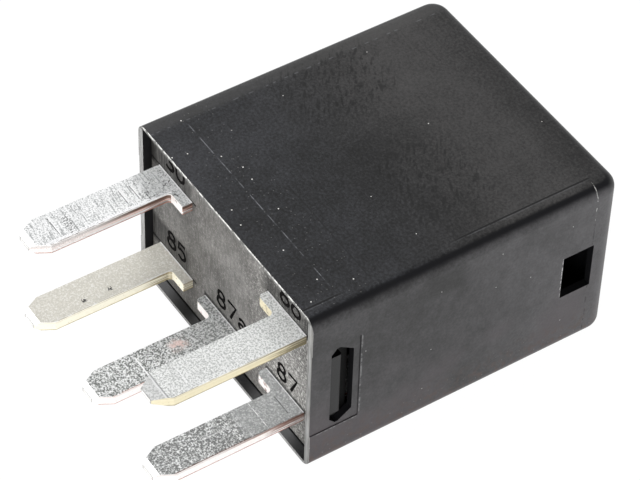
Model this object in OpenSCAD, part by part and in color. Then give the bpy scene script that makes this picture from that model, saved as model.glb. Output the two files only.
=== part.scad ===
// Automotive changeover relay of the micro size, with five flat blades.
// It lies on its broad side: X across, Y along it from the blade tips to the closed end, Z through it.
// Y is counted from the rim of the housing inside the modules, and place() centres the whole.

/* [Housing] */
// Width of the housing
case_w = 22.5; // [21.5:0.1:25]
// Thickness of the housing
case_h = 15; // [14.6:0.1:18]
// Length of the housing, rim to closed end
case_l = 25.5; // [24:0.1:34]
// Wall thickness of the housing
wall = 0.6; // [0.5:0.05:0.8]
// Thickness of the closed end
end_wall = 0.8; // [0.6:0.1:1.2]
// Radius of the housing's outer edges
edge_r = 1; // [0.7:0.1:1.4]
// Radius of the closed end's two upright corners
end_r = 1.4; // [1:0.1:1.8]
// Thickness of the two broad walls at the rim, inside their lead-in chamfer
rim_lip = 0.3; // [0.2:0.05:0.45]

/* [Snap latch] */
// Distance of the latch window from the rim
latch_y = 1.6; // [1.3:0.1:2]
// Length of the latch window along the housing
latch_l = 1.8; // [1.5:0.1:2.2]
// Height of the latch window at its far edge
latch_h = 6.1; // [5:0.1:7]
// Rise of the window's two peaks beyond its far edge
latch_peak = 0.75; // [0.5:0.05:1]
// Length of the snap tab on the base
tab_l = 0.9; // [0.6:0.05:1.1]
// Height of the snap tab
tab_h = 5.8; // [4.5:0.1:5.9]
// Depth of the tab's face below the housing's side
tab_sink = 0.15; // [0.08:0.01:0.25]
// Depth of the shallow pocket round the latch window
pocket_d = 0.06; // [0.04:0.01:0.1]
// Length of the shallow pocket from the rim
pocket_l = 3.92; // [3.6:0.02:4.4]
// Height of the shallow pocket
pocket_h = 8.2; // [7.8:0.1:9]

/* [Square windows] */
// Length of the square window along the housing
eye_l = 2.6; // [2:0.1:3.2]
// Height of the square window
eye_h = 4; // [3:0.1:5]
// Distance of the square window from the closed end
eye_end = 1.95; // [1.6:0.05:3]

/* [Base] */
// Depth of the base's face below the rim
recess = 0.65; // [0.4:0.05:0.9]
// Thickness of the base plate
base_t = 2.6; // [2.5:0.1:3.4]
// Play between the base and the housing
fit_gap = 0.08; // [0.04:0.01:0.12]
// Play between two pieces that seat on each other
seat = 0.03; // [0.02:0.01:0.05]

/* [Blades] */
// Width of a blade
blade_w = 2.8; // [2.6:0.1:3]
// Thickness of a blade
blade_t = 0.8; // [0.7:0.05:0.85]
// Reach of the blades beyond the rim
blade_reach = 11; // [9:0.1:13]
// Distance of the outer blades' centre lines from the housing's narrow sides
col_side = 3.15; // [2.9:0.05:3.4]
// Distance of the blades' centre planes from the housing's broad sides
row_side = 3.55; // [3.4:0.05:3.7]
// Width of the shoulders beside the blades of 30 and 85
shoulder_w = 1.6; // [1.4:0.05:1.7]
// Width of the shoulders beside the other blades
shoulder_wide = 2; // [1.6:0.05:2.2]
// Reach of the shoulders out of the base
shoulder_out = 0.8; // [0.5:0.05:1]
// Depth of the shoulders inside the base
shoulder_in = 1.35; // [1:0.05:1.4]
// Radius of the fillet between a blade and its shoulder
shoulder_r = 0.35; // [0.2:0.05:0.5]
// Length of the side chamfers at a blade's tip
taper_l = 1.35; // [1:0.05:1.8]
// Width of each side chamfer at the tip
taper_w = 0.75; // [0.5:0.05:0.9]
// Depth of the coined bevel on each flat at the tip
bevel_d = 0.24; // [0.15:0.01:0.28]
// Length of the short bevel
bevel_short = 0.42; // [0.3:0.02:0.7]
// Length of the long bevel
bevel_long = 0.95; // [0.7:0.05:1.3]

/* [Magnet] */
// Thickness of the yoke
yoke_t = 1.2; // [1:0.05:1.3]
// Clearance between the yoke and the tail of terminal 85
yoke_clear = 0.37; // [0.2:0.01:0.6]
// Play between the yoke's back and the housing, where the spring lies
yoke_play = 0.6; // [0.5:0.05:0.8]
// Diameter of the core
core_d = 4; // [3.4:0.1:4.4]
// Diameter of the core's riveted end in the yoke
rivet_end_d = 3; // [2.4:0.1:3.2]
// Diameter of the pole head
pole_d = 7.6; // [6.8:0.1:8]
// Thickness of the pole head
pole_t = 1; // [0.8:0.1:1.2]
// Distance from the pole face to the closed end's inside
head_room = 5.7; // [5.5:0.1:6.5]
// Play between the bobbin's flanges and the yoke's leg
flange_play = 0.3; // [0.2:0.05:0.5]
// Room for the leads between the bobbin's flanges and the housing's broad walls
lead_room = 1.6; // [1.4:0.1:2]
// Thickness of the bobbin's flanges
flange_t = 1; // [0.8:0.1:1.2]
// Wall thickness of the bobbin's tube
tube_t = 0.5; // [0.4:0.05:0.7]
// Distance of the winding below the flanges' sides
coil_sink = 0.7; // [0.6:0.05:1.2]
// Thickness of the tape round the winding
tape_t = 0.1; // [0.06:0.02:0.16]
// Diameter of the coil's lead wires
lead_d = 0.3; // [0.2:0.02:0.34]
// Radius of a solder joint
solder_r = 0.55; // [0.45:0.05:0.6]

/* [Armature and spring] */
// Thickness of the armature
arm_t = 1; // [0.8:0.05:1.2]
// Length of the armature
arm_l = 11.6; // [11:0.1:12]
// Opening angle of the armature at rest
arm_tilt = 2; // [1.4:0.1:2.4]
// Thickness of the spring strip
spring_t = 0.2; // [0.14:0.02:0.24]
// Width of the spring strip
spring_w = 4.4; // [3.6:0.1:5]
// Length of the strip's leg along the yoke
leg_l = 10; // [8:0.1:11]
// Radius of the armature's heel, which the strip wraps
heel_r = 0.4; // [0.3:0.05:0.5]
// Shank diameter of the strip's rivets
strip_rivet_d = 1.2; // [1:0.1:1.4]
// Head diameter of the strip's rivets
strip_rivet_head = 2; // [1.8:0.1:2.4]
// Height of the heads on the armature
arm_head_h = 0.3; // [0.2:0.05:0.4]
// Height of the heads on the yoke's back
leg_head_h = 0.2; // [0.15:0.01:0.25]
// Slope of a rivet head's rim, measured across
head_slope = 0.4; // [0.3:0.05:0.6]
// Distance of the first armature rivet from the hinge
rivet_from_hinge = 2.6; // [2:0.1:3.2]
// Distance of the second armature rivet from the free end
rivet_from_end = 3; // [2.4:0.1:3.6]
// Distance of the first yoke rivet from the end of the strip's leg
leg_rivet_in = 1.6; // [1.4:0.1:2.4]
// Distance between the yoke's two rivets
leg_rivet_pitch = 3; // [2.6:0.1:4]

/* [Contacts] */
// Distance of the contacts from the outer column, towards the coil
contact_in = 1.9; // [1.7:0.1:2.1]
// Head diameter of the moving contact
moving_d = 2.6; // [2.2:0.1:2.8]
// Head diameter of the fixed contacts
fixed_d = 2.8; // [2.4:0.1:3.2]
// Height of the moving contact's lower head
moving_low = 0.8; // [0.6:0.05:0.9]
// Height of the moving contact's upper head
moving_high = 0.6; // [0.5:0.05:0.8]
// Height of a fixed contact's head
fixed_h = 0.7; // [0.5:0.05:0.8]
// Radius of the contact domes
dome_r = 5; // [4:0.5:8]
// Shank diameter of the contact rivets
shank_d = 1.4; // [1.2:0.1:1.6]
// Diameter of a fixed contact's riveted tail
tail_d = 2.3; // [2:0.1:2.5]
// Height of a fixed contact's riveted tail
tail_h = 0.3; // [0.2:0.05:0.4]
// Width of the contact carriers on the strips of 87 and 87a
carrier_w = 4; // [3.6:0.1:4.2]
// Length of the slanted edge by which a strip steps over to its carrier
step_l = 2.5; // [1.5:0.1:3]
// Distance of the step of 87 below its carrier
step_87 = 3.2; // [2:0.1:4]
// Distance of the step of 87a below its carrier
step_87a = 2; // [1:0.1:3]
// Radius of the folds
fold_r = 0.9; // [0.8:0.05:1.2]
// Gap between the strip of 87a and the bobbin's flanges
strip_gap = 0.75; // [0.6:0.05:0.9]
// Gap between the strip of 87a and the outer blades
strip_side = 1.3; // [0.8:0.05:1.5]
// Gap between the strip of 87a and the terminals below and above it
strip_clear = 0.75; // [0.6:0.05:0.9]

/* [Hidden] */
$fn = 48;
eps = 0.01;

// The housing
rim_y = -(case_l - blade_reach) / 2;
mid_z = case_h / 2;
in_x = case_w / 2 - wall;
in_end = case_l - end_wall;
latch_z = mid_z + 0.05;
eye_y = case_l - eye_end - eye_l;
inner_r = max(0.3, edge_r - wall);
corner_r = max(end_r, edge_r);

// The base
base_x = in_x - fit_gap;
base_y1 = recess + base_t;
tab_x = case_w / 2 - tab_sink;

// The blades' centre lines
col_pitch = case_w / 2 - col_side;
z_hi = case_h - row_side;
z_lo = row_side;
blade_half = blade_t / 2;
shoulder_y0 = recess - shoulder_out;
shoulder_y1 = recess + shoulder_in;
tail_gap = 0.25;
tail_y0 = base_y1 + tail_gap;

// The magnet
yoke_x = -in_x + yoke_play;
yoke_y0 = tail_y0;
yoke_y1 = yoke_y0 + yoke_t;
yoke_z1 = z_hi - blade_half - seat;
yoke_z0 = z_lo + blade_half + yoke_clear;
yoke_w = yoke_z1 - yoke_z0;
flange_x0 = yoke_x + yoke_t + flange_play;
flange_w = in_x;
flange_h = case_h - 2 * (wall + lead_room);
flange_edge = flange_x0 + flange_w;
coil_x = flange_x0 + flange_w / 2;
coil_d = min(flange_w, flange_h) - 2 * coil_sink;
yoke_foot = flange_edge - yoke_t;
pole_y = in_end - head_room;
pole_face = pole_y - seat;
bob_y0 = yoke_y1 + seat;
bob_y1 = pole_face - pole_t - seat;
tube_d = core_d + 2 * seat + 2 * tube_t;
wind_y0 = bob_y0 + flange_t + seat;
wind_y1 = bob_y1 - flange_t - seat;

// The strip of 87a inside the base and above the coil
strip_y1 = base_y1 - 0.15;
strip_y0 = strip_y1 - blade_t;
strip_x0 = flange_edge + strip_gap;
strip_x1 = col_pitch - blade_w / 2 - strip_side;
strip_w = strip_x1 - strip_x0;
strip_z = z_lo + blade_half + strip_clear;
riser_z0 = z_hi + blade_half + strip_clear;
riser_z1 = riser_z0 + blade_t;

// The leads and where they are soldered
bend_d = 1.1 * lead_d;
lead_r = coil_d / 2 + tape_t + bend_d / 2 + 2 * seat;
lead_y = wind_y0 + 0.4;
low_z = mid_z - flange_h / 2 - lead_d / 2 - 0.15;
low_x = -col_pitch + blade_w / 2 + 0.6;
high_x = flange_edge + lead_d / 2 + 0.15;
weld_y = (tail_y0 + yoke_y1) / 2;
weld_low = z_lo - blade_half - solder_r * 0.55;
weld_high = z_hi + blade_half + solder_r * 0.55;

// The contacts' common axis
contact_x = col_pitch - contact_in;

// The armature turns about the yoke's outer edge: u runs along it from there, v through it
arm_half = yoke_w / 2;
arm_zc = (yoke_z0 + yoke_z1) / 2;
contact_u = contact_x - yoke_x;
heel_u = heel_r;
heel_v = arm_t - heel_r;
heel_x = yoke_x + heel_u * cos(arm_tilt) - heel_v * sin(arm_tilt);
heel_y = pole_y + heel_u * sin(arm_tilt) + heel_v * cos(arm_tilt);
leg_x1 = heel_x - heel_r;
leg_x0 = leg_x1 - spring_t;
leg_y0 = pole_y - leg_l;

// The contacts, closed below and open above
no_face = pole_y + arm_t - moving_low - seat;
no_y1 = no_face - fixed_h;
no_y0 = no_y1 - blade_t;
nc_stack = arm_t + spring_t + moving_high;
nc_face = pole_y + contact_u * sin(arm_tilt) + nc_stack * cos(arm_tilt) + seat;
nc_y0 = nc_face + fixed_h;
nc_y1 = nc_y0 + blade_t;
carrier_x0 = contact_x - carrier_w / 2;
carrier_x1 = contact_x + carrier_w / 2;

// The width of the shoulder on side s of a blade
function shoulder_width(s) = s > 0 ? shoulder_w : shoulder_wide;

// Places a piece so that the whole object is centred along Y
module place() {
    translate([0, rim_y, 0])
        children();
}

// A drawing in X and Z, drawn out along Y
module along_y(y0, y1) {
    translate([0, y1, 0])
        rotate([90, 0, 0])
            linear_extrude(height = y1 - y0)
                children();
}

// A drawing in Y and Z, drawn out along X
module along_x(x0, x1) {
    translate([x0, 0, 0])
        rotate([90, 0, 90])
            linear_extrude(height = x1 - x0)
                children();
}

// A drawing in X and Y, drawn out along Z
module along_z(z0, z1) {
    translate([0, 0, z0])
        linear_extrude(height = z1 - z0)
            children();
}

// A box by its two corners
module box(a, b) {
    translate(a)
        cube([b[0] - a[0], b[1] - a[1], b[2] - a[2]]);
}

// A rectangle with round corners, by its two corners
module round_rect(x0, y0, x1, y1, r) {
    translate([x0 + r, y0])
        square([x1 - x0 - 2 * r, y1 - y0]);
    translate([x0, y0 + r])
        square([x1 - x0, y1 - y0 - 2 * r]);
    for (x = [x0 + r, x1 - r], y = [y0 + r, y1 - r])
        translate([x, y])
            circle(r = r);
}

// A straight round wire between two points
module wire(a, b, d) {
    v = b - a;
    l = norm(v);
    translate(a)
        rotate([0, acos(v[2] / l), atan2(v[1], v[0])])
            cylinder(d = d, h = l);
}

// A disc along Y
module disc_y(x, z, y0, y1, d) {
    translate([x, y1, z])
        rotate([90, 0, 0])
            cylinder(d = d, h = y1 - y0);
}

// A contact head along +Y with a domed face, its face apex at height h
module dome_head(d, h) {
    intersection() {
        rotate([-90, 0, 0])
            cylinder(d = d, h = h);
        translate([0, h - dome_r, 0])
            sphere(r = dome_r, $fn = 96);
    }
}

// The housing's outer form: its long edges and the closed end's edges are round
module case_form() {
    post_x = case_w / 2 - corner_r;
    post_y = case_l - corner_r;
    union() {
        along_y(0, post_y)
            round_rect(-case_w / 2, 0, case_w / 2, case_h, edge_r);
        along_x(-post_x, post_x)
            intersection() {
                translate([post_y, 0])
                    square([corner_r, case_h]);
                round_rect(0, 0, case_l, case_h, edge_r);
            }
        for (s = [-1, 1])
            translate([s * post_x, post_y, 0])
                corner_post();
    }
}

// An upright corner of the closed end, turned, with its upper and lower edges round
module corner_post() {
    rotate_extrude()
        intersection() {
            square([corner_r, case_h]);
            round_rect(-corner_r, 0, corner_r, case_h, edge_r);
        }
}

// The latch window's outline in Y and Z, with a peak above and below the snap tab
module latch_outline() {
    half = latch_h / 2;
    near = half + 0.25;
    peak = half + latch_peak;
    polygon([
        [latch_y, latch_z - near],
        [latch_y + 0.45, latch_z - peak],
        [latch_y + 0.7, latch_z - peak],
        [latch_y + latch_l, latch_z - half],
        [latch_y + latch_l, latch_z + half],
        [latch_y + 0.7, latch_z + peak],
        [latch_y + 0.45, latch_z + peak],
        [latch_y, latch_z + near]
    ]);
}

// The moulded housing, open at the blades
module cover() {
    color("#303134") place() difference() {
        case_form();
        // the room for the relay
        along_y(-1, in_end)
            round_rect(-in_x, wall, in_x, case_h - wall, inner_r);
        // the lead-in chamfers of the two broad walls
        along_x(-in_x, in_x)
            polygon([
                [-0.5, rim_lip],
                [0, rim_lip],
                [recess - 0.1, wall],
                [recess - 0.1, case_h - wall],
                [0, case_h - rim_lip],
                [-0.5, case_h - rim_lip]
            ]);
        for (s = [0, 1])
            mirror([s, 0, 0]) {
                // the latch window in its shallow pocket
                along_x(in_x - 0.5, case_w / 2 + 1)
                    latch_outline();
                box(
                    [case_w / 2 - pocket_d, -1, latch_z - pocket_h / 2],
                    [case_w / 2 + 1, pocket_l, latch_z + pocket_h / 2]
                );
                // the square window by the closed end
                box(
                    [in_x - 0.5, eye_y, mid_z - eye_h / 2],
                    [case_w / 2 + 1, eye_y + eye_l, mid_z + eye_h / 2]
                );
            }
    }
}

// A blade seen from above, tip at the left end of its chamfers, with its shoulder on side s
module blade_plan(s, y_end) {
    h = blade_w / 2;
    tip = h - taper_w;
    polygon([
        [-tip, -blade_reach],
        [tip, -blade_reach],
        [h, -blade_reach + taper_l],
        [h, y_end],
        [-h, y_end],
        [-h, -blade_reach + taper_l]
    ]);
    mirror([s > 0 ? 0 : 1, 0])
        translate([h, 0])
            shoulder_plan(shoulder_width(s), s > 0 ? 0.08 : shoulder_r);
}

// The shoulder of width w: a round fillet at the blade, and an outer corner of radius r
module shoulder_plan(w, r) {
    translate([-0.2, shoulder_y0])
        square([w + 0.2 - r, shoulder_y1 - shoulder_y0]);
    translate([-0.2, shoulder_y0 + r])
        square([w + 0.2, shoulder_y1 - shoulder_y0 - r]);
    translate([w - r, shoulder_y0 + r])
        circle(r = r);
    difference() {
        translate([-0.1, shoulder_y0 - shoulder_r])
            square([shoulder_r + 0.1, shoulder_r + 0.1]);
        translate([shoulder_r, shoulder_y0 - shoulder_r])
            circle(r = shoulder_r);
    }
}

// The wedge that coins one flat of a tip
module bevel_cut(l) {
    along_x(-blade_w, blade_w)
        polygon([
            [-blade_reach - 1, -1],
            [-blade_reach - 1, bevel_d + bevel_d / l],
            [-blade_reach + l, 0],
            [-blade_reach + l + 1, -1]
        ]);
}

// A blade with its shoulder: centre line at x, lower flat at z0
module blade(x, z, s, y_end, bevel) {
    translate([x, 0, z - blade_half])
        difference() {
            along_z(0, blade_t)
                blade_plan(s, y_end);
            bevel_cut(bevel);
            translate([0, 0, blade_t])
                mirror([0, 0, 1])
                    bevel_cut(bevel);
        }
}

// The slot in the base for a blade and its shoulder, g wider on every side
module blade_slot(x, z, s, g) {
    translate([x, 0, z - blade_half - g])
        along_z(0, blade_t + 2 * g) {
            translate([-blade_w / 2 - g, 0])
                square([blade_w + 2 * g, base_y1 + 1]);
            mirror([s > 0 ? 0 : 1, 0])
                translate([0, 0])
                    square([blade_w / 2 + shoulder_width(s) + g, shoulder_y1 + g]);
        }
}

// The strip of 87a as it crosses the base, in X and Z, g wider on every side
module cross_strip(g) {
    h = blade_w / 2;
    polygon([
        [-h - g, z_lo - blade_half - g],
        [h + g, z_lo - blade_half - g],
        [h + g, strip_z - g],
        [strip_x1 + g, strip_z - g],
        [strip_x1 + g, riser_z1 + g],
        [strip_x0 - g, riser_z1 + g],
        [strip_x0 - g, strip_z + strip_w + g],
        [-h - g, strip_z + strip_w + g]
    ]);
}

// The moulded base
module base() {
    color("#3a3a3a") place() difference() {
        union() {
            // the plate
            along_y(recess, base_y1)
                round_rect(-base_x, wall + fit_gap, base_x, case_h - wall - fit_gap, 0.4);
            // the snap tabs
            for (s = [0, 1])
                mirror([s, 0, 0])
                    along_z(latch_z - tab_h / 2, latch_z + tab_h / 2)
                        polygon([
                            [base_x - 0.4, latch_y + seat],
                            [tab_x, latch_y + seat],
                            [tab_x, latch_y + tab_l - 0.1],
                            [tab_x - 0.1, latch_y + tab_l],
                            [base_x - 0.4, latch_y + tab_l]
                        ]);
            // the pad under the yoke
            box(
                [yoke_x + 0.4, base_y1 - 0.5, yoke_z0 + 0.4],
                [-blade_w / 2 - 0.4, yoke_y0 - seat, yoke_z1 - 0.4]
            );
            // the insulating wall between coil and contacts
            along_x(flange_edge + 0.2, flange_edge + 0.7)
                round_rect(base_y1 - 0.8, yoke_z0 + 0.3, no_y0 - 2, yoke_z1 - 0.6, 0.4);
            // the post behind the strip of 87
            box(
                [col_pitch - 1, base_y1 - 0.5, wall + 0.6],
                [col_pitch + 1, no_y0 - 4, z_lo - blade_half - seat]
            );
            // the post behind the strip of 87a
            box(
                [strip_x0 + 0.3, base_y1 - 0.5, riser_z1 + seat],
                [strip_x1 - 0.3, no_y0 - 4, riser_z1 + 0.75]
            );
        }
        // the blades' slots
        blade_slot(-col_pitch, z_hi, 1, seat);
        blade_slot(-col_pitch, z_lo, 1, seat);
        blade_slot(col_pitch, z_hi, -1, seat);
        blade_slot(col_pitch, z_lo, -1, seat);
        blade_slot(0, z_lo, -1, seat);
        // the channel of the strip of 87a
        along_y(strip_y0 - seat, base_y1 + 1)
            intersection() {
                cross_strip(seat);
                square([2 * case_w, 2 * riser_z1 + 2 * seat], center = true);
            }
    }
}

// Terminal 30, the common one, welded to the yoke's side
module terminal_30() {
    color("#c9c8c2") place() {
        blade(-col_pitch, z_hi, 1, yoke_y1, bevel_short);
        box(
            [-col_pitch, tail_y0, z_hi - blade_half],
            [-col_pitch + blade_w / 2 + shoulder_w, yoke_y1, z_hi + blade_half]
        );
    }
}

// Terminal 85, one end of the coil
module terminal_85() {
    color("#c9c8c2") place() {
        blade(-col_pitch, z_lo, 1, yoke_y1 - 0.1, bevel_short);
        box(
            [-col_pitch, tail_y0, z_lo - blade_half],
            [-col_pitch + blade_w / 2 + shoulder_w, yoke_y1 - 0.1, z_lo + blade_half]
        );
    }
}

// Terminal 86, the other end of the coil, with an arm that reaches back to the coil
module terminal_86() {
    color("#c9c8c2") place() {
        blade(col_pitch, z_hi, -1, yoke_y1 - 0.1, bevel_long);
        box(
            [flange_edge - 0.15, tail_y0, z_hi - blade_half],
            [col_pitch, yoke_y1 - 0.1, z_hi + blade_half]
        );
    }
}

// A contact carrier in X and Z: from height z to a round end about the contact
module carrier_plan(z) {
    low = min(z, mid_z);
    high = max(z, mid_z);
    translate([carrier_x0, low])
        square([carrier_w, high - low]);
    translate([contact_x, mid_z])
        circle(d = carrier_w);
}

// Terminal 87: its strip rises beside the coil and folds under the moving contact
module terminal_87() {
    h = blade_w / 2;
    color("#c9c8c2") place() difference() {
        union() {
            blade(col_pitch, z_lo, -1, tail_y0 + 1, bevel_short);
            along_z(z_lo - blade_half, z_lo + blade_half)
                polygon([
                    [col_pitch - h, tail_y0],
                    [col_pitch + h, tail_y0],
                    [col_pitch + h, no_y0 - step_l],
                    [carrier_x1, no_y0 - step_l / 2],
                    [carrier_x1, no_y1],
                    [carrier_x0, no_y1],
                    [carrier_x0, no_y0 - step_87],
                    [col_pitch - h, no_y0 - step_87 - step_l]
                ]);
            along_y(no_y0, no_y1)
                carrier_plan(z_lo - blade_half);
        }
        // the outside of the fold is round
        fold_cut(no_y1, z_lo - blade_half, 0);
        disc_y(contact_x, mid_z, no_y0 - 1, no_y1 + 1, shank_d);
    }
}

// What a fold's round outside leaves off its corner at y and z; up is 1 for a fold at the top
module fold_cut(y, z, up) {
    r = fold_r;
    translate([0, 0, z])
        mirror([0, 0, up])
            along_x(carrier_x0 - 1, carrier_x1 + 1)
                difference() {
                    translate([y - r, -1])
                        square([r + 1, r + 1]);
                    translate([y - r, r])
                        circle(r = r);
                }
}

// Terminal 87a: its strip crosses the base, rises behind the coil and folds over the moving contact
module terminal_87a() {
    color("#c9c8c2") place() difference() {
        union() {
            blade(0, z_lo, -1, strip_y1, bevel_short);
            along_y(strip_y0, strip_y1)
                cross_strip(0);
            along_z(riser_z0, riser_z1)
                polygon([
                    [strip_x0, strip_y0],
                    [strip_x1, strip_y0],
                    [strip_x1, nc_y0 - step_87a - step_l],
                    [carrier_x1, nc_y0 - step_87a],
                    [carrier_x1, nc_y1],
                    [carrier_x0, nc_y1],
                    [carrier_x0, nc_y0 - step_87a - step_l / 2],
                    [strip_x0, nc_y0 - step_87a - step_l]
                ]);
            along_y(nc_y0, nc_y1)
                carrier_plan(riser_z1);
        }
        fold_cut(nc_y1, riser_z1, 1);
        disc_y(contact_x, mid_z, nc_y0 - 1, nc_y1 + 1, shank_d);
    }
}

// The L-shaped yoke
module yoke() {
    color("#8d8f92") place() difference() {
        union() {
            box([yoke_x, yoke_y0, yoke_z0], [yoke_foot, yoke_y1, yoke_z1]);
            box([yoke_x, yoke_y0, yoke_z0], [yoke_x + yoke_t, pole_y - seat, yoke_z1]);
        }
        // the bend is round outside
        along_z(yoke_z0 - 1, yoke_z1 + 1)
            difference() {
                translate([yoke_x - 1, yoke_y0 - 1])
                    square([yoke_t + 1, yoke_t + 1]);
                translate([yoke_x + yoke_t, yoke_y0 + yoke_t])
                    circle(r = yoke_t);
            }
        disc_y(coil_x, mid_z, yoke_y0 - 1, yoke_y1 + 1, rivet_end_d);
        yoke_rivet_places()
            cylinder(d = strip_rivet_d, h = 2 * yoke_t, center = true);
    }
}

// The two places where the strip's leg is riveted to the yoke's back
module yoke_rivet_places() {
    for (i = [0, 1])
        translate([yoke_x, leg_y0 + leg_rivet_in + i * leg_rivet_pitch, mid_z])
            rotate([0, 90, 0])
                children();
}

// The core with its pole head
module core() {
    color("#a2a4a6") place() {
        disc_y(coil_x, mid_z, yoke_y0, yoke_y1 + eps, rivet_end_d);
        disc_y(coil_x, mid_z, yoke_y1, pole_face - pole_t + eps, core_d);
        disc_y(coil_x, mid_z, pole_face - pole_t, pole_face, pole_d);
    }
}

// One flange of the bobbin, from y0
module flange(y0) {
    w = flange_w / 2;
    h = flange_h / 2;
    along_y(y0, y0 + flange_t)
        round_rect(coil_x - w, mid_z - h, coil_x + w, mid_z + h, 1.4);
}

// The moulded bobbin
module bobbin() {
    color("#e8e2d0") place() difference() {
        union() {
            flange(bob_y0);
            flange(bob_y1 - flange_t);
            disc_y(coil_x, mid_z, bob_y0, bob_y1, tube_d);
        }
        disc_y(coil_x, mid_z, bob_y0 - 1, bob_y1 + 1, core_d + 2 * seat);
    }
}

// The copper winding
module winding() {
    color("#b4622f") place() difference() {
        disc_y(coil_x, mid_z, wind_y0, wind_y1, coil_d);
        disc_y(coil_x, mid_z, wind_y0 - 1, wind_y1 + 1, tube_d + 2 * seat);
    }
}

// The tape round the winding
module coil_tape() {
    inner = coil_d + seat;
    color("#d8b23a") place() difference() {
        disc_y(coil_x, mid_z, wind_y0, wind_y1, inner + 2 * tape_t);
        disc_y(coil_x, mid_z, wind_y0 - 1, wind_y1 + 1, inner);
    }
}

// A lead wire through a row of points, a little thicker where it bends
module lead(points) {
    for (i = [1 : len(points) - 1])
        wire(points[i - 1], points[i], lead_d);
    for (p = points)
        translate(p)
            sphere(d = bend_d, $fn = 24);
}

// The lead from the winding to terminal 85, past the lower edge of the bobbin's flange
module coil_lead_85() {
    color("#b4622f") place() lead([
        [low_x, lead_y, mid_z - sqrt(pow(lead_r, 2) - pow(coil_x - low_x, 2))],
        [low_x, lead_y, low_z],
        [low_x, weld_y, low_z],
        [low_x, weld_y, weld_low]
    ]);
}

// The lead from the winding to terminal 86, past the flange's side
module coil_lead_86() {
    color("#b4622f") place() lead([
        [coil_x + sqrt(pow(lead_r, 2) - pow(weld_high - mid_z, 2)), lead_y, weld_high],
        [high_x, lead_y, weld_high],
        [high_x, weld_y, weld_high]
    ]);
}

// A solder joint: a drop on the face z of a terminal, on side s, round a wire's end at p from q
module solder(z, s, p, q) {
    d = bend_d + 0.02;
    difference() {
        translate([p[0], p[1], z])
            sphere(r = solder_r, $fn = 32);
        translate([0, 0, z - s * 2])
            cube([4 * case_w, 4 * case_l, 4], center = true);
        translate(p)
            sphere(d = d, $fn = 24);
        wire(p, q, d);
    }
}

module solder_85() {
    color("#d5d5d8") place()
        solder(z_lo - blade_half, -1, [low_x, weld_y, weld_low], [low_x, weld_y, low_z]);
}

module solder_86() {
    color("#d5d5d8") place()
        solder(z_hi + blade_half, 1, [high_x, weld_y, weld_high], [high_x, lead_y, weld_high]);
}

// Puts what is drawn in u, v and height about the middle into its open position
module on_armature() {
    translate([yoke_x, pole_y, mid_z])
        rotate([0, 0, arm_tilt])
            children();
}

// The two places where the strip is riveted to the armature
module armature_rivet_places() {
    for (u = [rivet_from_hinge, arm_l - rivet_from_end])
        translate([u, 0, 0])
            rotate([-90, 0, 0])
                children();
}

// The hinged armature, its heel round under the strip
module armature() {
    zc = arm_zc - mid_z;
    color("#8d8f92") place() on_armature() difference() {
        along_z(zc - arm_half, zc + arm_half) {
            translate([heel_r, 0])
                square([arm_l - heel_r, arm_t]);
            square([heel_r, arm_t - heel_r]);
            translate([heel_u, heel_v])
                circle(r = heel_r);
        }
        // the free corners are cut off
        for (s = [-1, 1])
            translate([arm_l, 0, zc + s * arm_half])
                rotate([0, 45, 0])
                    cube([1.8, 4 * arm_t, 1.8], center = true);
        armature_rivet_places()
            cylinder(d = strip_rivet_d, h = 4 * arm_t, center = true);
    }
}

// The strip's flat arm in u and height: it narrows to a round end about the contact
module arm_plan() {
    w = spring_w / 2;
    e = moving_d / 2 + 0.35;
    polygon([
        [heel_u, -w],
        [arm_l - 1, -w],
        [contact_u, -e],
        [contact_u, e],
        [arm_l - 1, w],
        [heel_u, w]
    ]);
    translate([contact_u, 0])
        circle(r = e);
}

// The spring strip: arm, bend round the heel and leg on the yoke's back
module contact_spring() {
    r1 = heel_r + spring_t;
    color("#c79a55") place() difference() {
        union() {
            on_armature()
                translate([0, arm_t + spring_t, 0])
                    rotate([90, 0, 0])
                        linear_extrude(height = spring_t)
                            arm_plan();
            along_z(mid_z - spring_w / 2, mid_z + spring_w / 2) {
                translate([heel_x, heel_y])
                    intersection() {
                        difference() {
                            circle(r = r1);
                            circle(r = heel_r);
                        }
                        polygon([
                            [0, 0],
                            [-2 * r1, 0],
                            [-2 * r1, 2 * r1],
                            [-2 * r1 * sin(arm_tilt), 2 * r1 * cos(arm_tilt)]
                        ]);
                    }
                translate([leg_x0, leg_y0])
                    square([spring_t, heel_y - leg_y0]);
            }
        }
        on_armature() {
            armature_rivet_places()
                cylinder(d = strip_rivet_d, h = 8 * arm_t, center = true);
            translate([contact_u, 0, 0])
                rotate([-90, 0, 0])
                    cylinder(d = shank_d, h = 8 * arm_t, center = true);
        }
        yoke_rivet_places()
            cylinder(d = strip_rivet_d, h = 2 * yoke_t, center = true);
    }
}

// The two rivets that hold the strip to the armature
module armature_rivets() {
    top = arm_t + spring_t;
    color("#b9b4a8") place() on_armature() armature_rivet_places() {
        cylinder(d = strip_rivet_d, h = top + eps);
        translate([0, 0, top])
            cylinder(d1 = strip_rivet_head, d2 = strip_rivet_head - head_slope, h = arm_head_h);
    }
}

// The two rivets that hold the strip's leg to the yoke
module yoke_rivets() {
    over = yoke_x - leg_x0;
    color("#b9b4a8") place() yoke_rivet_places() {
        translate([0, 0, -over - eps])
            cylinder(d = strip_rivet_d, h = over + eps + yoke_t - seat);
        translate([0, 0, -over - leg_head_h])
            cylinder(d1 = strip_rivet_head - head_slope, d2 = strip_rivet_head, h = leg_head_h);
    }
}

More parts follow.
